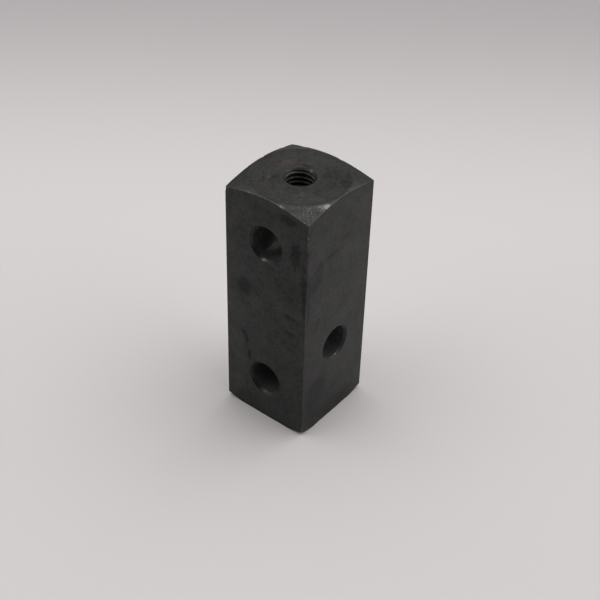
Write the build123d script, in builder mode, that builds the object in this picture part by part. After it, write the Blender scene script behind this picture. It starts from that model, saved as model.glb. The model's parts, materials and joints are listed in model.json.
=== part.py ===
"""Mounting block cut from square steel bar.

One piece of square bar stands on end.  Both ends are faced in a lathe and their
corners are turned off at a shallow angle, so each side face ends in an arc.  A
tapped hole runs down the axis from the top and breaks into the upper of two cross
holes drilled from front to back.  A third cross hole runs from side to side, above
the lower one.  The origin is the centre of the base, and Z is the axis of the bar.
"""

import os
from math import hypot, radians, tan

from build123d import *

os.makedirs("parts", exist_ok=True)

# Square bar, in millimetres
bar_width = 25.0
block_height = 68.0
edge_break = 0.2  # the long edges are eased with a file

# Turned ends: a flat face out to this diameter, then a cone down to the corners
top_face_diameter = 25.4
base_face_diameter = 29.2
end_chamfer_angle = 20.0

# Tapped hole, M8 x 1.25, as drilled for the tap
tapping_drill_diameter = 6.8
tapped_mouth_diameter = 8.2
countersink_angle = 90.0

# Cross holes, one size for all, with their mouths deburred by a countersink
cross_hole_diameter = 8.8
cross_hole_mouth_chamfer = 0.65
upper_hole_below_top = 12.9
lower_hole_above_base = 12.7
side_hole_above_base = 23.6

# Places that follow from the sizes above
corner_radius = hypot(bar_width, bar_width) / 2
chamfer_slope = tan(radians(end_chamfer_angle))
top_face_radius = top_face_diameter / 2
base_face_radius = base_face_diameter / 2
top_corner_drop = (corner_radius - top_face_radius) * chamfer_slope
base_corner_rise = (corner_radius - base_face_radius) * chamfer_slope
upper_hole_height = block_height - upper_hole_below_top

# The upper and lower holes open in the front face, and the side hole in the right one
cross_hole_axes = [
    Plane(origin=(0, 0, upper_hole_height), z_dir=(0, -1, 0)),
    Plane(origin=(0, 0, lower_hole_above_base), z_dir=(0, -1, 0)),
    Plane(origin=(0, 0, side_hole_above_base), z_dir=(1, 0, 0)),
]

with BuildPart() as mounting_block:
    # Sawn length of bar with its long edges eased
    with BuildSketch():
        Rectangle(bar_width, bar_width)
        chamfer(vertices(), length=edge_break)
    extrude(amount=block_height)

    # What the lathe leaves of it: the envelope of both faced and chamfered ends
    with BuildSketch(Plane.XZ):
        with BuildLine():
            Polyline(
                (0, 0),
                (base_face_radius, 0),
                (corner_radius, base_corner_rise),
                (corner_radius, block_height - top_corner_drop),
                (top_face_radius, block_height),
                (0, block_height),
                close=True,
            )
        make_face()
    revolve(axis=Axis.Z, mode=Mode.INTERSECT)

    # Cross holes, drilled through and countersunk at every mouth
    with Locations(*cross_hole_axes):
        Hole(radius=cross_hole_diameter / 2)
    chamfer(edges(Select.LAST).filter_by(GeomType.CIRCLE), length=cross_hole_mouth_chamfer)

    # Tapped hole, drilled down to the axis of the upper cross hole
    with Locations(Plane.XY.offset(block_height)):
        CounterSinkHole(
            radius=tapping_drill_diameter / 2,
            counter_sink_radius=tapped_mouth_diameter / 2,
            depth=upper_hole_below_top,
            counter_sink_angle=countersink_angle,
        )

mounting_block.part.label = "mounting_block"
export_step(mounting_block.part, "parts/mounting_block.step")
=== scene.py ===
"""A machined mounting block: one length of square steel bar, blackened all over.

Both ends are faced in a lathe and their corners are turned off to a shallow cone.  A
tapped hole runs down the axis from the top into the upper of two front-to-back cross
holes, and a third cross hole runs from side to side.  All sizes are in metres.
"""

import json
from math import cos, pi, radians, sin

import bpy
import numpy as np
from mathutils import Matrix, Vector


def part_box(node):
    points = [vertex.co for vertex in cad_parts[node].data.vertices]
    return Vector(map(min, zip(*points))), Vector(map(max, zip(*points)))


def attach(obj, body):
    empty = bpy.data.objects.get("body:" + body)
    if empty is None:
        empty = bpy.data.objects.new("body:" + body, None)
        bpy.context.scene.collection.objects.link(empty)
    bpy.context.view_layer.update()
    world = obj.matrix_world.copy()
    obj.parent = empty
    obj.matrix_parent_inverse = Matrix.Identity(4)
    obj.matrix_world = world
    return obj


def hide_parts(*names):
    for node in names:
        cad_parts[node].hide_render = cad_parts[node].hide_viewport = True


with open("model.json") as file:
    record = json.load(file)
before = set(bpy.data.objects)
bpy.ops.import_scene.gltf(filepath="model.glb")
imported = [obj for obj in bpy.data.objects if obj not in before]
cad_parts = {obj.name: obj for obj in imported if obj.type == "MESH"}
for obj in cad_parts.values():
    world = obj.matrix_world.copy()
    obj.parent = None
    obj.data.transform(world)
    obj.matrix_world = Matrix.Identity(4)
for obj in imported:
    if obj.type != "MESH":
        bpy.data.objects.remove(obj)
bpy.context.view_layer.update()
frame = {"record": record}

# ---------------------------------------------------------------------------------
# The bar.  Drawn square steel, cut to length, with its long edges eased by file.  Its
# ends are faced and their corners turned off in a lathe, which chattered on the corners.

mm = 0.001
bar_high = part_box("mounting_block")[1]
half_width = bar_high[0]
height = bar_high[2]

edge_round = 0.15 * mm
rim_width = 0.055 * mm
rim_unevenness = 0.015 * mm

# The top disc's edge is a ring of the mesh, so it has to lie just inside the flat sides.
# It is 0.25 mm inside the part's own 12.7 mm, and the cone is flatter than the part's, so
# that the corners are as high.
top_disc_radius = 12.45 * mm
top_slope = 0.3492
base_disc_radius = 14.6 * mm
base_slope = 0.364
chatter_depth = 0.030 * mm
chatter_count = 112

# Radii of the full circles of the mesh on each end, in millimetres
base_circles = (2, 5, 8, 10.5, 11.8)
top_circles = (12.2, 11.6, 10.8, 10.0, 9.3, 8.6, 8.0, 7.4, 6.8, 6.2, 5.6, 5.0, 3.0, 1.2)

# The black shines like a dark metal, thin along the edges and gone where it is rubbed; the bare steel's
# colour is also painted as highlights where the metal catches the light
metal_share = 0.75
thin_black = (0.095, 0.092, 0.088, 1)
bare_steel_and_highlight = (0.19, 0.185, 0.175, 1)
wear_width = 0.22 * mm


def soft_noise(points, size, seed, octaves=3):
    """A smooth random value in about -1..1 at each point: sums of sines of random
    directions, whose wavelengths are around `size` and halve with each octave."""
    wave_count, mean_length, fading = 12, 1.7, 1.6
    dice = np.random.default_rng(seed)
    total = np.zeros(len(points))
    for octave in range(octaves):
        waves = dice.normal(size=(wave_count, 3)) * 2 * pi / (size / 2**octave) / mean_length
        phases = dice.uniform(0, 2 * pi, wave_count)
        total += np.sin(points @ waves.T + phases).sum(axis=1) / wave_count**0.5 / fading**octave
    return total / fading


def spread(points, place, size):
    """A bell round a place: 1 there, and falling with the square of the distance over
    the size.  Place and size may hold one value for each direction."""
    return np.exp(-(((points - np.array(place)) / size) ** 2).sum(axis=-1))


def bar_outline():
    """The bar's section, anticlockwise, with its corners rounded.

    One side is a list of places along it, close together towards its ends, and then the
    inner points of a quarter circle.  The four sides are that one in quarter turns.
    """
    end = half_width - edge_round
    middle = 0.32 * half_width
    along = np.concatenate([
        np.linspace(-end, -middle, 52),
        np.linspace(-middle, middle, 12)[1:-1],
        np.linspace(middle, end, 52),
    ])
    side = np.stack([np.full_like(along, half_width), along], axis=1)
    bend = np.linspace(0, pi / 2, 6)[1:-1]
    corner = end + edge_round * np.stack([np.cos(bend), np.sin(bend)], axis=1)
    side = np.concatenate([side, corner])
    turns = [np.array([[cos(a), sin(a)], [-sin(a), cos(a)]]) for a in np.arange(4) * pi / 2]
    return np.concatenate([side @ turn for turn in turns])


def base_height(radius):
    """Height of the base at a radius: nought on the disc, then slope times the rest."""
    return base_slope * np.maximum(0, radius - base_disc_radius)


def top_height(radius):
    """Height of the top at a radius: the bar's on the disc, then less slope times the rest."""
    return height - top_slope * np.maximum(0, radius - top_disc_radius)


def bar_surface():
    """The whole outside of the bar as one closed grid of rings by columns.

    Each column starts at the centre of the base, runs out along the base to its point
    of the outline, up the side, and in along the top to the centre.  A point of an end
    lies on its column's radius, and drops from the faced disc by slope times the
    distance outside the disc.  Each rim is a quarter ellipse from the side to the end,
    a little wider where the rim is worn.
    """
    outline = bar_outline()
    reach = np.hypot(outline[:, 0], outline[:, 1])
    heading = outline / reach[:, None]
    rim_spots = np.column_stack([outline, np.full(len(outline), height)])
    rim = rim_width + rim_unevenness * soft_noise(rim_spots, 2.5 * mm, 31)
    for place, size, extra in worn_rims:
        rim = rim + extra * spread(rim_spots, place, size)

    def ring(radius, level):
        return np.column_stack([heading * radius[:, None], level])

    # The base's disc is wider than the bar is at the middle of its sides, so there its
    # last ring keeps a little inside the rim.
    base_edge = np.minimum(base_disc_radius, reach - 0.4 * mm)
    inner = base_circles[-1] * mm
    rings = []
    for radius in base_circles:
        circle = np.full_like(reach, radius * mm)
        rings.append(ring(circle, base_height(circle)))
    for share in (0.5, 1.0):
        radius = inner + (base_edge - inner) * share
        rings.append(ring(radius, base_height(radius)))
    for share in (0.35, 0.7):
        radius = base_edge + (reach - rim - base_edge) * share
        rings.append(ring(radius, base_height(radius)))
    for bend in np.linspace(pi / 2, 0, 5)[:-1]:
        radius = reach - rim * (1 - cos(bend))
        foot = base_height(reach - rim)
        rings.append(ring(radius, foot + (base_height(reach) + rim - foot) * (1 - sin(bend))))

    low = base_height(reach) + rim
    high = top_height(reach) - rim
    shares = np.concatenate([
        np.linspace(0, 0.03, 6), np.linspace(0.03, 0.80, 44)[1:], np.linspace(0.80, 1, 40)[1:],
    ])
    for share in shares:
        rings.append(np.column_stack([outline, low + (high - low) * share]))

    for bend in np.linspace(0, pi / 2, 5)[1:]:
        radius = reach - rim * (1 - cos(bend))
        crown = top_height(reach - rim)
        rings.append(ring(radius, high + (crown - high) * sin(bend)))
    for share in np.linspace(0, 1, 18)[1:]:
        radius = reach - rim + (top_disc_radius - reach + rim) * share
        rings.append(ring(radius, top_height(radius)))
    for radius in top_circles:
        circle = np.full_like(reach, radius * mm)
        rings.append(ring(circle, top_height(circle)))

    points = np.array(rings)
    count, columns = points.shape[:2]
    index = np.arange(count * columns).reshape(count, columns)
    after = np.roll(index, -1, axis=1)
    quads = np.stack([index[:-1], after[:-1], after[1:], index[1:]], axis=-1).reshape(-1, 4)
    floor_centre, top_centre = count * columns, count * columns + 1
    points = np.concatenate([points.reshape(-1, 3), [[0, 0, 0], [0, 0, height]]])
    base_fan = np.stack([after[0], index[0], np.full(columns, floor_centre)], axis=1)
    top_fan = np.stack([index[-1], after[-1], np.full(columns, top_centre)], axis=1)
    return points, quads.tolist() + base_fan.tolist() + top_fan.tolist()


# Places along the top rim that wear or a file has rounded more: place, size, extra
worn_rims = [
    ((-6.3 * mm, -half_width, height), 2.2 * mm, 0.15 * mm),
    ((4.6 * mm, -half_width, height), 1.6 * mm, 0.13 * mm),
    ((half_width, -5.2 * mm, height), 0.9 * mm, 0.20 * mm),
    ((-half_width, 6.0 * mm, height), 3.0 * mm, 0.08 * mm),
    ((5.0 * mm, half_width, height), 3.0 * mm, 0.10 * mm),
]

# Dents, each pressed in towards the axis and a little down: place, size, depth
nicks = [
    ((-9.0 * mm, half_width, height - 0.3 * mm), 0.9 * mm, 0.22 * mm),
    ((-half_width, 1.0 * mm, height), 0.6 * mm, 0.15 * mm),
    ((-half_width, 9.0 * mm, height - 0.4 * mm), 0.7 * mm, 0.20 * mm),
    ((2.5 * mm, half_width, height), 0.4 * mm, 0.12 * mm),
    ((half_width, -half_width, height - 4.2 * mm), 0.5 * mm, 0.20 * mm),
    ((half_width, -half_width, height - 6.0 * mm), 0.4 * mm, 0.14 * mm),
    ((half_width, -half_width, height - 9.5 * mm), 0.5 * mm, 0.12 * mm),
    ((half_width, -half_width, 1.3 * mm), 0.7 * mm, 0.18 * mm),
    ((-half_width, -half_width, height - 2.2 * mm), 0.6 * mm, 0.16 * mm),
]


def chatter(points):
    """How far the cutter's chatter reaches into the top cone at each point, in 0..1:
    waves round the axis, which run out along the radius and swell towards the corners,
    with a slow wobble and a strength that varies from place to place."""
    swell = 1.2 * mm
    radius = np.hypot(points[:, 0], points[:, 1])
    angle = np.arctan2(points[:, 1], points[:, 0])
    on_cone = (radius > top_disc_radius) & (points[:, 2] > top_height(radius) - 0.06 * mm)
    out = np.clip((radius - top_disc_radius) / swell, 0, 1)
    wobble = 1.3 * soft_noise(points, 3.5 * mm, 5)
    strength = np.clip(0.75 + 0.45 * soft_noise(points, 2.2 * mm, 8), 0, 1)
    return on_cone * out * strength * (0.5 - 0.5 * np.cos(chatter_count * angle + wobble))


def worn(points):
    """The bar's points after turning and use: the top cone cut into by the chatter, and
    each nick pressed in as a bell, towards the axis and a little down."""
    lean = 0.96
    moved = points.copy()
    moved[:, 2] -= chatter_depth * chatter(points)
    for place, size, depth in nicks:
        inward = np.array([0, 0, place[2] * lean]) - np.array(place)
        press = depth * spread(points, place, size)
        moved += press[:, None] * inward / np.linalg.norm(inward)
    return moved


def new_piece(name, points, faces, material):
    """A mesh object at the origin with these points, faces and material."""
    mesh = bpy.data.meshes.new(name)
    mesh.from_pydata(points, [], faces)
    mesh.materials.append(material)
    mesh.update()
    piece = bpy.data.objects.new(name, mesh)
    bpy.context.scene.collection.objects.link(piece)
    return piece


def add_node(tree, kind, inputs=None, **settings):
    """One node of a tree. Numbers and colours are set on its inputs, and sockets are
    linked to them."""
    node = tree.nodes.new(kind)
    for name, value in settings.items():
        setattr(node, name, value)
    for name, value in (inputs or {}).items():
        if isinstance(value, bpy.types.NodeSocket):
            tree.links.new(value, node.inputs[name])
        else:
            node.inputs[name].default_value = value
    return node


def maths(tree, operation, *values):
    """One step of arithmetic on numbers or sockets."""
    return add_node(tree, "ShaderNodeMath", dict(enumerate(values)), operation=operation).outputs[0]


def noise(tree, place, size, detail=2.0, roughness=0.5, distortion=0.0):
    """Cloudy noise in 0..1 round 0.5, whose largest blobs measure about `size`."""
    node = add_node(tree, "ShaderNodeTexNoise", {"Vector": place, "Scale": 1 / size,
        "Detail": detail, "Roughness": roughness, "Distortion": distortion})
    return node.outputs["Fac"]


def varied(tree, value, pattern, swing):
    """A value plus the pattern's distance from its middle, 0.5, times the swing."""
    return maths(tree, "MULTIPLY_ADD", maths(tree, "SUBTRACT", pattern, 0.5), swing, value)


def fade(tree, value, start, end, low=0.0, high=1.0):
    """Eases from low, where the value is at start, to high, where it is at end."""
    limits = {"Value": value, "From Min": start, "From Max": end, "To Min": low, "To Max": high}
    node = add_node(tree, "ShaderNodeMapRange", limits, interpolation_type="SMOOTHSTEP")
    return node.outputs["Result"]


def blend(tree, share, under, over):
    """A colour that goes from `under` to `over` as the share goes from 0 to 1."""
    node = add_node(tree, "ShaderNodeMix", {0: share, 6: under, 7: over}, data_type="RGBA")
    return node.outputs[2]


def stretched(tree, place, turn, squeeze):
    """The place turned by some angles, then with each direction scaled."""
    turned = add_node(tree, "ShaderNodeMapping", {"Vector": place, "Rotation": turn}).outputs[0]
    return add_node(tree, "ShaderNodeMapping", {"Vector": turned, "Scale": squeeze}).outputs[0]


def off_axis(tree, place):
    """The distance of a place from the bar's axis."""
    flat = add_node(tree, "ShaderNodeVectorMath", {0: place, 1: (1, 1, 0)}, operation="MULTIPLY")
    length = add_node(tree, "ShaderNodeVectorMath", {0: flat.outputs[0]}, operation="LENGTH")
    return length.outputs["Value"]


def new_group(name, inputs, outputs):
    """A node group with these sockets, what it is given inside, and where its results go."""
    group = bpy.data.node_groups.new(name, "ShaderNodeTree")
    for label, kind in inputs.items():
        group.interface.new_socket(label, in_out="INPUT", socket_type=kind)
    for label in outputs:
        group.interface.new_socket(label, in_out="OUTPUT", socket_type="NodeSocketFloat")
    given = group.nodes.new("NodeGroupInput").outputs
    result = group.nodes.new("NodeGroupOutput").inputs
    return group, given, result


def edge_gap(tree, place):
    """The distance from a point of the surface to the nearest edge of the bar.

    On the surface the least of the distances to the four sides and the two ends is
    nought, and the distance to the nearest edge is the next one.
    """
    axes = add_node(tree, "ShaderNodeSeparateXYZ", {"Vector": place}).outputs
    side_gaps = [maths(tree, "SUBTRACT", half_width, maths(tree, "ABSOLUTE", axes[k])) for k in (0, 1)]
    radius = off_axis(tree, place)
    drop = maths(tree, "MAXIMUM", 0.0, maths(tree, "SUBTRACT", radius, top_disc_radius))
    top_gap = maths(tree, "SUBTRACT", height, maths(tree, "MULTIPLY_ADD", drop, top_slope, axes[2]))
    rise = maths(tree, "MAXIMUM", 0.0, maths(tree, "SUBTRACT", radius, base_disc_radius))
    base_gap = maths(tree, "SUBTRACT", axes[2], maths(tree, "MULTIPLY", rise, base_slope))
    nearer_side = maths(tree, "MINIMUM", *side_gaps)
    farther_side = maths(tree, "MAXIMUM", *side_gaps)
    end_gap = maths(tree, "MINIMUM", top_gap, base_gap)
    return maths(tree, "MINIMUM", farther_side, maths(tree, "MAXIMUM", nearer_side, end_gap))


# Edge wear: the black rubbed off in a narrow, broken line along the edges
edge_wear, given, result = new_group(
    "edge_wear", {"Place": "NodeSocketVector", "Width": "NodeSocketFloat"}, ["Wear"])
ragged = noise(edge_wear, given["Place"], 0.7 * mm, detail=4.0, roughness=0.65)
patchy = noise(edge_wear, given["Place"], 5.0 * mm, detail=2.0)
gap_share = maths(edge_wear, "DIVIDE", edge_gap(edge_wear, given["Place"]), given["Width"])
broken_gap = varied(edge_wear, varied(edge_wear, gap_share, ragged, -2.4), patchy, -2.0)
edge_wear.links.new(fade(edge_wear, broken_gap, 1.0, 0.1), result["Wear"])

# Mottling: the uneven bloom of the black, in clouds, blotches, specks and a fine grain.
# Layout is above nought where a stain or a painted shade lies and below it where the black is paler or
# painted lighter, and the second output holds these darker marks with their borders broken up by the
# blotches.
mottle, given, result = new_group(
    "mottle", {"Place": "NodeSocketVector", "Layout": "NodeSocketFloat"}, ["Tone", "Stain_and_shade", "Grain"])
clouds = noise(mottle, given["Place"], 6.0 * mm, detail=2.0, roughness=0.55)
blotches = noise(mottle, given["Place"], 1.3 * mm, detail=4.0, roughness=0.6, distortion=0.5)
specks = noise(mottle, given["Place"], 0.42 * mm, detail=2.0, roughness=0.7)
grain = noise(mottle, given["Place"], 0.16 * mm, detail=3.0, roughness=0.6)
stain_and_shade = fade(mottle, varied(mottle, given["Layout"], blotches, 1.9), 0.20, 0.58)
tone = varied(mottle, 1.0, clouds, 1.2)
tone = varied(mottle, tone, blotches, 1.8)
tone = varied(mottle, tone, specks, 1.5)
tone = varied(mottle, tone, grain, 0.9)
paler = maths(mottle, "MINIMUM", given["Layout"], 0.0)
tone = maths(mottle, "MULTIPLY_ADD", paler, -0.9, tone)
tone = maths(mottle, "MULTIPLY_ADD", stain_and_shade, -0.86, tone)
darkest_tone = 0.08
mottle.links.new(maths(mottle, "MAXIMUM", tone, darkest_tone), result["Tone"])
mottle.links.new(stain_and_shade, result["Stain_and_shade"])
mottle.links.new(grain, result["Grain"])

# Hairlines: fine scratches in two directions, in patches
hairlines, given, result = new_group("hairlines", {"Place": "NodeSocketVector"}, ["Scratch"])
scratch = 0.0
for count, turn in enumerate(((0.5, 0.35, 0.2), (-0.65, -0.4, 1.1))):
    drawn_out = stretched(hairlines, given["Place"], turn, (1, 1, 0.035))
    thin = fade(hairlines, noise(hairlines, drawn_out, 0.10 * mm, detail=1.0), 0.68, 0.76)
    elsewhere = {0: given["Place"], 1: (count * 0.05, 0, 0)}
    area = add_node(hairlines, "ShaderNodeVectorMath", elsewhere, operation="ADD").outputs[0]
    where = fade(hairlines, noise(hairlines, area, 4.0 * mm), 0.42, 0.62)
    scratch = maths(hairlines, "MULTIPLY_ADD", thin, where, scratch)
hairlines.links.new(scratch, result["Scratch"])

# Bare places and painted highlights: the layout of spots where the steel shows through or a highlight is
# painted in pale steel, with their borders speckled
bare_and_highlight_spots, given, result = new_group(
    "bare_and_highlight_spots", {"Place": "NodeSocketVector", "Layout": "NodeSocketFloat"}, ["Bare"])
speckle = noise(bare_and_highlight_spots, given["Place"], 0.35 * mm, detail=3.0)
bare_and_highlight_share = fade(bare_and_highlight_spots, varied(bare_and_highlight_spots, given["Layout"], speckle, 1.1), 0.25, 1.10)
bare_and_highlight_spots.links.new(bare_and_highlight_share, result["Bare"])


def use_group(tree, group, **inputs):
    """The outputs of a group placed in a tree, with these values or sockets fed in."""
    node = add_node(tree, "ShaderNodeGroup", node_tree=group)
    for label, value in inputs.items():
        if isinstance(value, bpy.types.NodeSocket):
            tree.links.new(value, node.inputs[label])
        else:
            node.inputs[label].default_value = value
    return node.outputs


def new_material(name):
    """An empty Principled material: its tree, its shader, and the place on the piece."""
    material = bpy.data.materials.new(name)
    material.use_nodes = True
    tree = material.node_tree
    place = add_node(tree, "ShaderNodeTexCoord").outputs["Object"]
    return material, tree, tree.nodes["Principled BSDF"], place


def layout(tree, name):
    """An attribute of the mesh, laid out below: how strong a mark is at each point."""
    return add_node(tree, "ShaderNodeAttribute", attribute_name=name).outputs["Fac"]


def bared_and_highlighted(tree, place, colour, steel):
    """A colour with the steel showing through in the bare places, and the same pale steel painted as
    highlights where the layout marks them.
    """
    bare_and_highlight = use_group(tree, bare_and_highlight_spots, Place=place, Layout=layout(tree, "bare_and_highlight"))["Bare"]
    return blend(tree, bare_and_highlight, colour, steel)


def handled(tree, place, colour, scratched):
    """A colour with scratches, thin black along the edges, bare places and painted highlights, and the
    scratches by themselves."""
    lines = use_group(tree, hairlines, Place=place)["Scratch"]
    colour = blend(tree, maths(tree, "MULTIPLY", lines, 0.5), colour, scratched)
    rubbed = use_group(tree, edge_wear, Place=place, Width=wear_width)["Wear"]
    colour = blend(tree, maths(tree, "MULTIPLY", rubbed, 0.5), colour, thin_black)
    return bared_and_highlighted(tree, place, colour, bare_steel_and_highlight), lines


def scaled(tree, colour, tone):
    """A colour times a value."""
    return add_node(tree, "ShaderNodeVectorMath", {0: colour, 1: tone}, operation="MULTIPLY").outputs[0]


def coat(tree, shader, colour, roughness, relief, depth):
    """Feeds the shader: a colour, a roughness, and a relief of 0..1 as a bump of that depth."""
    tree.links.new(colour, shader.inputs["Base Color"])
    tree.links.new(roughness, shader.inputs["Roughness"])
    shader.inputs["Metallic"].default_value = metal_share
    bump = add_node(tree, "ShaderNodeBump", {"Height": relief, "Distance": depth, "Strength": 1.0})
    tree.links.new(bump.outputs["Normal"], shader.inputs["Normal"])


# The drawn sides: black, faintly green and pink by turns, with stains, a broad lighter band painted low
# on the front side, faint draw marks along the bar, and wear with painted highlights among it
bar_steel, tree, shader, place = new_material("blackened_bar")
bloom = use_group(tree, mottle, Place=place, Layout=layout(tree, "stain_and_shade"))
draw_marks = noise(tree, stretched(tree, place, (0, 0, 0), (1, 1, 0.02)), 0.22 * mm, detail=2.0)
hue = fade(tree, noise(tree, place, 1.1 * mm, detail=2.0), 0.35, 0.65)
colour = blend(tree, hue, (0.0212, 0.0256, 0.0214, 1), (0.0264, 0.0238, 0.0254, 1))
colour = scaled(tree, colour, varied(tree, bloom["Tone"], draw_marks, 0.6))
colour, lines = handled(tree, place, colour, (0.060, 0.059, 0.057, 1))
roughness = maths(tree, "MULTIPLY_ADD", bloom["Grain"], 0.16, 0.34)
roughness = maths(tree, "MULTIPLY_ADD", bloom["Stain_and_shade"], -0.05, roughness)
relief = maths(tree, "MULTIPLY_ADD", draw_marks, 0.45, bloom["Grain"])
relief = maths(tree, "MULTIPLY_ADD", lines, -0.4, relief)
coat(tree, shader, colour, roughness, relief, 0.008 * mm)

# The turned ends: rings from the facing tool, a paler cone, rust where a washer sat, and a darker sector
# painted on the top where its rings' reflection is dark
turned_steel, tree, shader, place = new_material("turned_end")
bloom = use_group(tree, mottle, Place=place, Layout=layout(tree, "stain_and_shade"))
radius = off_axis(tree, place)
ring_place = add_node(tree, "ShaderNodeCombineXYZ", {"X": radius}).outputs[0]
rings = noise(tree, ring_place, 0.16 * mm, detail=2.0, roughness=0.6)
broad_rings = noise(tree, ring_place, 1.1 * mm, detail=1.0)
tone = varied(tree, varied(tree, bloom["Tone"], rings, 0.5), broad_rings, 0.9)
on_cone = fade(tree, radius, top_disc_radius - 0.2 * mm, top_disc_radius + 0.6 * mm)
tone = maths(tree, "MULTIPLY_ADD", on_cone, 0.22, tone)
colour = scaled(tree, (0.0252, 0.0250, 0.0238), tone)
rust_border = noise(tree, place, 0.8 * mm, detail=4.0)
rust = fade(tree, varied(tree, layout(tree, "rust"), rust_border, 1.5), 0.18, 0.85)
colour = blend(tree, maths(tree, "MULTIPLY", rust, 0.85), colour, (0.066, 0.044, 0.030, 1))
colour, lines = handled(tree, place, colour, (0.065, 0.063, 0.061, 1))
roughness = maths(tree, "MULTIPLY_ADD", bloom["Grain"], 0.14, 0.32)
roughness = maths(tree, "MULTIPLY_ADD", rust, 0.20, roughness)
relief = maths(tree, "MULTIPLY_ADD", rings, 0.9, bloom["Grain"])
relief = maths(tree, "MULTIPLY_ADD", lines, -0.3, relief)
coat(tree, shader, colour, roughness, relief, 0.006 * mm)

points, faces = bar_surface()
block = new_piece("blackened_block", worn(points), faces, bar_steel)
block.data.materials.append(turned_steel)
middles = np.array([polygon.center[:] for polygon in block.data.polygons])
level, out = middles[:, 2], np.hypot(middles[:, 0], middles[:, 1])
on_top = level > top_height(out) - 0.05 * mm
on_base = level < base_height(out) + 0.03 * mm
block.data.polygons.foreach_set("material_index", (on_top | on_base).astype(np.int32))

# ---------------------------------------------------------------------------------
# The cross holes.  Drilled straight through the bar and eased at each mouth with a
# countersink, by hand, so that the mouths are not quite even.

mounts = {m["name"]: m for m in frame["record"]["mounts"]}
mouth_chamfer = 0.65 * mm

# Drilled walls: a brighter steel with fine rings round the drill's axis, and mouths as
# dark as the sides.  Depth is the place along the hole, which lies along X in the side
# hole and along Y in the others.
drilled_steel, tree, shader, place = new_material("drilled_wall")
axes = add_node(tree, "ShaderNodeSeparateXYZ", {"Vector": place}).outputs
side_hole_height = mounts["side_cross_hole"]["pos_m"][2]
from_side_hole = maths(tree, "ABSOLUTE", maths(tree, "SUBTRACT", axes[2], side_hole_height))
in_side_hole = maths(tree, "LESS_THAN", from_side_hole, 5.4 * mm)
in_others = maths(tree, "SUBTRACT", 1.0, in_side_hole)
depth = maths(tree, "MULTIPLY_ADD", axes[0], in_side_hole, maths(tree, "MULTIPLY", axes[1], in_others))
ring_place = add_node(tree, "ShaderNodeCombineXYZ", {"X": depth}).outputs[0]
drill_rings = noise(tree, ring_place, 0.18 * mm, detail=2.0)
bloom = use_group(tree, mottle, Place=place, Layout=0.0)
tone = maths(tree, "MULTIPLY_ADD", maths(tree, "SUBTRACT", bloom["Tone"], 1.0), 0.5, 1.0)
tone = varied(tree, tone, drill_rings, 0.6)
chamfer_foot = half_width - mouth_chamfer
inside = fade(tree, maths(tree, "ABSOLUTE", depth), chamfer_foot + 0.05 * mm, chamfer_foot - 0.3 * mm)
colour = blend(tree, inside, (0.025, 0.025, 0.025, 1), (0.150, 0.150, 0.147, 1))
# The bare places on the drilled walls include painted highlights on the lower lips of the holes
colour = bared_and_highlighted(tree, place, scaled(tree, colour, tone), (0.24, 0.235, 0.225, 1))
roughness = maths(tree, "MULTIPLY_ADD", bloom["Grain"], 0.16, 0.33)
relief = maths(tree, "MULTIPLY_ADD", drill_rings, 1.2, bloom["Grain"])
coat(tree, shader, colour, roughness, relief, 0.008 * mm)


def closed_tube(rings):
    """Points and faces of a grid of rings, closed round each ring and by one flat face
    at each end."""
    count, columns = rings.shape[:2]
    index = np.arange(count * columns).reshape(count, columns)
    after = np.roll(index, -1, axis=1)
    quads = np.stack([index[:-1], index[1:], after[1:], after[:-1]], axis=-1).reshape(-1, 4)
    faces = quads.tolist() + [index[0].tolist(), index[-1][::-1].tolist()]
    return rings.reshape(-1, 3), faces


def cross_drill(name, middle, axis, bore_radius, seed):
    """What the drill and the countersinks take out: rings round the hole's axis, whose
    radius is the bore's and grows by the depth outside it within the chamfer, with a
    little run-out that varies slowly round the hole."""
    ring_count = 96
    turn = np.arange(ring_count) / ring_count * 2 * pi
    inner = half_width - mouth_chamfer
    past = 0.8 * mm
    mouth = np.linspace(inner, half_width + 0.1 * mm, 5)
    depths = np.concatenate([
        [-half_width - past], -mouth[::-1],
        np.linspace(-inner, inner, 25)[1:-1],
        mouth, [half_width + past],
    ])
    depth, angle = np.meshgrid(depths, turn, indexing="ij")
    radius = bore_radius + np.maximum(0, np.abs(depth) - inner)
    spots = np.stack([depth, 5 * mm * np.cos(angle), 5 * mm * np.sin(angle)], axis=-1)
    uneven = soft_noise(spots.reshape(-1, 3), 7 * mm, seed, 2).reshape(depth.shape)
    radius = radius + 0.05 * mm * uneven * (np.abs(depth) > inner + 0.01 * mm)
    across = np.cross(axis, [0, 0, 1.0])
    rings = (depth[..., None] * axis + (radius * np.cos(angle))[..., None] * across
             + (radius * np.sin(angle))[..., None] * np.array([0, 0, 1.0]) + middle)
    return new_piece(name, *closed_tube(rings), drilled_steel)


cutters = []
for seed, name in enumerate(("upper_cross_hole", "lower_cross_hole", "side_cross_hole")):
    mount = mounts[name]
    middle, axis = np.array(mount["pos_m"]), np.array(mount["axis"], float)
    cutters.append(cross_drill(name, middle, axis, mount["dims"]["r_mm"] * mm, seed + 3))

# ---------------------------------------------------------------------------------
# The tapped hole.  Drilled, countersunk and cut with a coarse right-hand tap, down to
# the axis of the upper cross hole, which the thread breaks into.

thread_pitch = 1.25 * mm
thread_major_radius = 4.03 * mm
thread_root_flat = 0.05 * mm
mouth_radius = 4.1 * mm
drill_radius = mounts["tapped_hole"]["dims"]["r_mm"] * mm

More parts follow.
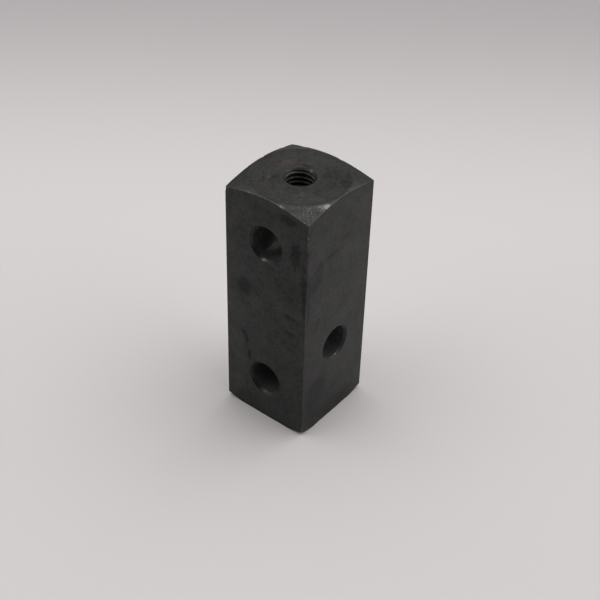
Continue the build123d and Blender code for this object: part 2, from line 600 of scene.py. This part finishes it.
# The thread's steel: as black as the bar, with rubbed crests
tapped_steel, tree, shader, place = new_material("tapped_wall")
bloom = use_group(tree, mottle, Place=place, Layout=0.0)
crest = fade(tree, off_axis(tree, place), drill_radius + 0.16 * mm, drill_radius + 0.02 * mm)
colour = blend(tree, crest, (0.024, 0.024, 0.023, 1), (0.042, 0.041, 0.040, 1))
colour = bared_and_highlighted(tree, place, scaled(tree, colour, bloom["Tone"]), bare_steel_and_highlight)
roughness = maths(tree, "MULTIPLY_ADD", bloom["Grain"], 0.16, 0.38)
coat(tree, shader, colour, roughness, bloom["Grain"], 0.006 * mm)


def thread_tap():
    """What drill, countersink and tap take out: rings down the hole's axis.  At each
    point the turn's phase is height over pitch less the angle's share of a turn, and
    the radius is that of a 60 degree vee groove at that phase, cut off at the drill's
    radius and flat at its root.  Where the countersink's cone is wider, it counts."""
    ring_count = 96
    steps = 12
    floor = mounts["upper_cross_hole"]["pos_m"][2]
    above = height + 0.6 * mm
    heights = np.arange(above, floor, -thread_pitch / steps)
    level, angle = np.meshgrid(heights, np.arange(ring_count) / ring_count * 2 * pi, indexing="ij")
    phase = (level / thread_pitch - angle / (2 * pi)) % 1
    vee = np.abs(phase - 0.5) * 2
    vee_depth = thread_pitch * 0.5 * 3**0.5 * 0.98
    groove = thread_major_radius - vee_depth * vee
    radius = np.clip(groove, drill_radius, thread_major_radius - thread_root_flat)
    radius = np.maximum(radius, mouth_radius + (level - height))
    rings = np.stack([radius * np.cos(angle), radius * np.sin(angle), level], axis=-1)
    return new_piece("tapped_hole", *closed_tube(rings), tapped_steel)


cutters.append(thread_tap())

# Drilling and tapping the bar: each cutter is taken out of it, and keeps its own finish
# on the walls that it leaves.
block.data.materials.append(drilled_steel)
block.data.materials.append(tapped_steel)
for cutter in cutters:
    cut = block.modifiers.new(cutter.name, "BOOLEAN")
    cut.operation = "DIFFERENCE"
    cut.solver = "EXACT"
    cut.material_mode = "TRANSFER"
    cut.object = cutter
cut_block = block.evaluated_get(bpy.context.evaluated_depsgraph_get())
drilled = bpy.data.meshes.new_from_object(cut_block)
block.modifiers.clear()
block.data = drilled
for cutter in cutters:
    bpy.data.objects.remove(cutter)
drilled.shade_smooth()
drilled.set_sharp_from_angle(angle=radians(28))

# ---------------------------------------------------------------------------------
# What handling has left on the block, with painted light among it: stains on the sides, a broken ring of
# rust on the top where a washer has sat, and pale spots, partly rubbed bare and partly painted
# highlights.

# The planes of the sides and the top, in millimetres
front, back = -half_width / mm, half_width / mm
left, right = -half_width / mm, half_width / mm
top = height / mm

# Place, size along x, y and z in millimetres, and strength, which is below nought where the black is
# paler.  Most are stains; a few are painted light, as marked.
stains_and_painted_light = [
    ((6.5, front, 65.0), (3.2, 1, 1.6), 0.75), ((8.8, front, 56.0), (1.5, 1, 3.6), 0.85),
    ((11.8, front, 49.0), (1.2, 1, 6.5), 0.45), ((5.5, front, 55.0), (1.2, 1, 2.4), 0.25),
    ((-7.0, front, 39.3), (2.4, 1, 2.2), 1.0), ((-6.6, front, 41.6), (1.2, 1, 0.8), 0.45),
    ((-6.9, front, 24.6), (0.9, 1, 0.8), 1.1), ((-8.6, front, 25.6), (1.5, 1, 0.6), 1.1),
    ((-5.9, front, 22.6), (0.7, 1, 1.4), 0.95), ((-5.2, front, 18.2), (0.8, 1, 1.6), 0.8),
    ((7.6, front, 36.8), (2.4, 1, 0.9), 0.65), ((7.9, front, 31.8), (1.9, 1, 1.0), 0.65),
    ((-2.2, front, 33.6), (1.0, 1, 0.8), 0.55), ((5.8, front, 28.6), (1.8, 1, 0.9), 0.40),
    ((-6.5, front, 4.0), (2.0, 1, 1.1), 0.50), ((6.0, front, 9.0), (4.0, 1, 5.0), 0.20),
    ((3.0, front, 47.0), (6.0, 1, 5.0), 0.34), ((8.0, front, 42.0), (3.4, 1, 4.0), 0.22),
    # Painted light: the second entry on the next line, a broad pale patch low on the front side, lifts
    # the shade there
    ((-9.5, front, 28.0), (3.0, 1, 9.0), -0.38), ((2.0, front, 3.0), (14, 1, 8.0), -0.36),
    ((-11.6, front, 40.0), (1.0, 1, 22.0), -0.25), ((-9.0, front, 16.5), (3.0, 1, 3.0), -0.25),
    ((right, -9.3, 48.6), (1, 2.6, 2.4), 1.3), ((right, -7.4, 51.6), (1, 1.2, 1.4), 0.9),
    ((right, -12.0, 42.0), (1, 1.2, 6.0), 0.9), ((right, -2.4, 53.0), (1, 3.4, 0.8), 0.8),
    ((right, 2.6, 55.4), (1, 2.6, 0.8), 0.6), ((right, -7.6, 35.3), (1, 1.1, 1.3), 0.9),
    ((right, -9.2, 33.2), (1, 1.3, 0.9), 0.40), ((right, -7.2, 62.0), (1, 0.4, 4.0), 0.35),
    ((right, -6.5, 13.0), (1, 3.6, 4.0), 0.8), ((right, 1.0, 3.0), (1, 9.0, 2.6), 0.8),
    ((right, -10.0, 8.0), (1, 4.0, 6.0), 0.45), ((left, 4.0, 52.0), (1, 2.2, 3.0), 0.60),
    ((left, -6.0, 30.0), (1, 2.8, 1.4), 0.60), ((left, 7.5, 12.0), (1, 1.6, 3.2), 0.55),
    ((left, -3.0, 60.0), (1, 1.4, 1.2), 0.50), ((5.0, back, 44.0), (2.6, 1, 2.0), 0.65),
    ((-8.0, back, 26.0), (1.5, 1, 4.0), 0.55), ((8.5, back, 8.0), (2.8, 1, 2.0), 0.50),
    # Painted reflection: the last entry on the next line and the first on the line after darken the right
    # of the top, where its faced rings reflect dark
    ((-2.0, back, 33.0), (1.0, 1, 1.0), 0.50), ((6.4, 5.4, top), (5.4, 5.6, 1), 0.42),
    ((10.5, 2.5, top - 0.4), (3.0, 5.0, 2), 0.16), ((-1.5, 4.6, top), (1.6, 0.8, 1), 0.60),
    ((-8.0, -8.0, top), (4.0, 5.0, 1), 0.34), ((-4.6, -3.4, top), (1.6, 2.6, 1), 0.30),
]

# Angle round the top in degrees, radius and size in millimetres, and strength
rust_marks = [
    (160, 6.8, 1.1, 0.65), (147, 7.0, 1.0, 0.6), (172, 6.9, 0.9, 0.45), (135, 7.0, 0.8, 0.4),
    (110, 6.5, 0.8, 0.6), (98, 6.6, 0.8, 0.45), (85, 6.8, 0.8, 0.3), (225, 7.8, 0.8, 0.45),
    (203, 7.4, 0.9, 0.5), (218, 7.4, 0.9, 0.6), (236, 8.4, 0.9, 0.5), (275, 7.6, 1.1, 0.55),
    (312, 7.4, 0.9, 0.8), (10, 4.5, 0.7, 0.75), (28, 4.4, 0.6, 0.5), (190, 9.8, 1.0, 0.3),
    (60, 7.6, 0.7, 0.3), (345, 9.0, 0.8, 0.25),
]

# Pale spots, place and size in millimetres, and strength: rubbed bare on corners, edges and hidden rims,
# and painted highlights on the front of the top rim, the lip of the top cone on the right, the lower lips
# of the holes in the front and right sides, and the back of the tapped hole's mouth
bare_and_highlight_places = [
    ((-6.3, front, top), (2.0, 0.5, 0.5), 1.0), ((4.6, front, top), (1.5, 0.5, 0.5), 0.9),
    ((right, -5.3, top - 0.1), (0.8, 0.8, 0.5), 1.5), ((11.6, -6.4, top - 0.4), (1.2, 1, 1), 0.4),
    ((-0.7, front + 0.2, 50.5), (1.1, 0.7, 0.45), 0.72), ((-0.2, front + 0.2, 8.2), (1.1, 0.8, 0.4), 0.6),
    ((right - 0.2, 0.8, 19.1), (0.8, 0.8, 0.4), 0.6), ((right, front, 62.6), (0.25, 0.25, 2.4), 0.6),
    ((right, front, 1.2), (0.5, 0.5, 0.6), 0.8), ((0.3, 4.0, top - 0.2), (0.7, 0.5, 0.5), 0.62),
    ((left, front, top - 1.4), (0.6, 0.6, 0.8), 0.7), ((right, back, top - 1.2), (0.6, 0.6, 0.9), 0.6),
    ((left, back, 30.0), (0.25, 0.25, 6.0), 0.5), ((left, 3.0, top), (0.5, 2.0, 0.4), 0.6),
    ((-3.0, back, top), (2.4, 0.5, 0.4), 0.6), ((1.0, back - 0.2, 50.7), (1.2, 0.8, 0.4), 0.7),
]

spots = np.empty(len(drilled.vertices) * 3, np.float32)
drilled.vertices.foreach_get("co", spots)
spots = spots.reshape(-1, 3)


def sum_of_bells(marks):
    """The strengths of some marks at each point of the mesh, each as a bell, summed."""
    return sum(
        strength * spread(spots, np.array(place) * mm, np.array(size) * mm)
        for place, size, strength in marks)


def lay_out(name, values):
    """Keeps one value for each point of the mesh, for the materials to read."""
    drilled.attributes.new(name, "FLOAT", "POINT").data.foreach_set("value", values.astype(np.float32))


rust_bells = []
for angle, distance, size, strength in rust_marks:
    centre = (distance * cos(radians(angle)), distance * sin(radians(angle)), top)
    rust_bells.append((centre, size, strength))

# The crests between the chatter's dips are rubbed a little brighter all round, and a painted highlight
# makes them much brighter at the front corner, where the cone catches the light
dips = chatter(spots + [0, 0, 0.04 * mm])
crests = (dips > 0) * (1 - dips)
front_corner_highlight = spread(spots[:, :2], (10.2 * mm, -9.6 * mm), 3.4 * mm)
lay_out("stain_and_shade", sum_of_bells(stains_and_painted_light))
lay_out("rust", sum_of_bells(rust_bells))
lay_out("bare_and_highlight", sum_of_bells(bare_and_highlight_places) + crests * (0.10 + 0.36 * front_corner_highlight))

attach(block, "root")
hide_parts("mounting_block")

# ---------------------------------------------------------------------------------
# The stage: a pale paper sweep painted darker towards the back as shade, a soft light overhead and a pale
# room that is darker on the side that the block is seen from.

azimuth, elevation, roll = radians(37.64), radians(38.67), radians(1.708)
behind = np.array([-sin(azimuth), cos(azimuth)])
aside = np.array([cos(azimuth), sin(azimuth)])


def paper_sweep():
    """A floor that bends up far behind the block: a profile of distance and height
    carried sideways.  The bend is a quarter circle."""
    bend_start, bend_radius, top, reach = 0.75, 0.25, 0.55, 2.0
    turn = np.linspace(0, pi / 2, 24)
    bend = bend_start + bend_radius * np.sin(turn)
    distance = np.concatenate([[-reach, -0.5, 0.0], bend, [bend_start + bend_radius]])
    rise = np.concatenate([[0, 0, 0], bend_radius * (1 - np.cos(turn)), [top]])
    across = np.linspace(-reach, reach, 9)
    run, side = np.meshgrid(np.arange(len(distance)), across, indexing="ij")
    spots = distance[run][..., None] * behind + side[..., None] * aside
    points = np.concatenate([spots, rise[run][..., None]], axis=-1)
    rows, columns = run.shape
    index = np.arange(rows * columns).reshape(rows, columns)
    quads = np.stack([index[:-1, :-1], index[:-1, 1:], index[1:, 1:], index[1:, :-1]], axis=-1)
    return points.reshape(-1, 3), quads.reshape(-1, 4).tolist()


# The paper's colour darkens towards the back: painted shade for the rising backdrop, which the overhead
# light reaches less
paper, tree, shader, place = new_material("paper")
dot = add_node(tree, "ShaderNodeVectorMath", {0: place, 1: (*behind, 0)}, operation="DOT_PRODUCT")
painted_shade_far_back = fade(tree, dot.outputs["Value"], 0.07, 0.27)
paper_and_painted_shade = blend(tree, painted_shade_far_back, (0.589, 0.566, 0.565, 1), (0.372, 0.354, 0.361, 1))
tree.links.new(paper_and_painted_shade, shader.inputs["Base Color"])
shader.inputs["Roughness"].default_value = 0.9
shader.inputs["Specular IOR Level"].default_value = 0.1
sweep = new_piece("paper_sweep", *paper_sweep(), paper)
sweep.data.shade_smooth()

softbox = bpy.data.lights.new("softbox", "AREA")
softbox.shape = "RECTANGLE"
softbox.size, softbox.size_y = 1.0, 0.9
softbox.energy = 3.15
lamp = bpy.data.objects.new("softbox", softbox)
lamp.location = (-0.14, 0.13, 0.64)
lamp.rotation_euler = Vector(lamp.location).to_track_quat("Z", "Y").to_euler()
bpy.context.scene.collection.objects.link(lamp)

world = bpy.data.worlds.new("room")
bpy.context.scene.world = world
world.use_nodes = True
tree = world.node_tree
facing = add_node(tree, "ShaderNodeTexCoord").outputs["Generated"]


def side_of_room(direction, start, full):
    """How far a direction lies within a soft-edged patch of the room: 0 outside it and
    1 inside it. The limits are cosines of the angle from the patch's middle."""
    towards = Vector(direction).normalized()
    nearness = add_node(tree, "ShaderNodeVectorMath", {0: facing, 1: towards}, operation="DOT_PRODUCT")
    return fade(tree, nearness.outputs["Value"], start, full)


# Patches of the room: direction, soft edge, and how much lighter or darker than the rest
room_patches = [
    ((0.59, -0.765, 0.22), (0.30, 0.85), -0.38),
    ((0.70, 0.65, 0.20), (0.30, 0.90), 1.34),
    ((-0.55, -0.60, 0.58), (0.80, 0.97), 0.9),
    ((0.0, 0.2, 0.98), (0.5, 0.95), 0.10),
]
room_level, seen_level = 0.40, 0.45
light = room_level
for direction, edge, extra in room_patches:
    light = maths(tree, "MULTIPLY_ADD", side_of_room(direction, *edge), extra, light)
seen = add_node(tree, "ShaderNodeLightPath").outputs["Is Camera Ray"]
strength = add_node(tree, "ShaderNodeMix", {0: seen, 2: light, 3: seen_level}, data_type="FLOAT")
room = tree.nodes["Background"]
room.inputs["Color"].default_value = (1, 0.993, 0.985, 1)
tree.links.new(strength.outputs[0], room.inputs["Strength"])

camera_data = bpy.data.cameras.new("camera")
camera_data.lens, camera_data.sensor_width = 71.585, 36
camera = bpy.data.objects.new("camera", camera_data)
bpy.context.scene.collection.objects.link(camera)
bpy.context.scene.camera = camera
camera_target = Vector((0.000923, 0.000113, 0.031425))
camera_distance = 0.30196
away = Vector((sin(azimuth) * cos(elevation), -cos(azimuth) * cos(elevation), sin(elevation)))
rightwards = (-away).cross(Vector((0, 0, 1))).normalized()
upwards = rightwards.cross(-away)
frame_across = cos(roll) * rightwards + sin(roll) * upwards
frame_up = -sin(roll) * rightwards + cos(roll) * upwards
spin = Matrix((frame_across, frame_up, away)).transposed()
camera.matrix_world = Matrix.Translation(camera_target + away * camera_distance) @ spin.to_4x4()
camera_data.clip_start = 0.01

bpy.context.scene.view_settings.view_transform = "Standard"
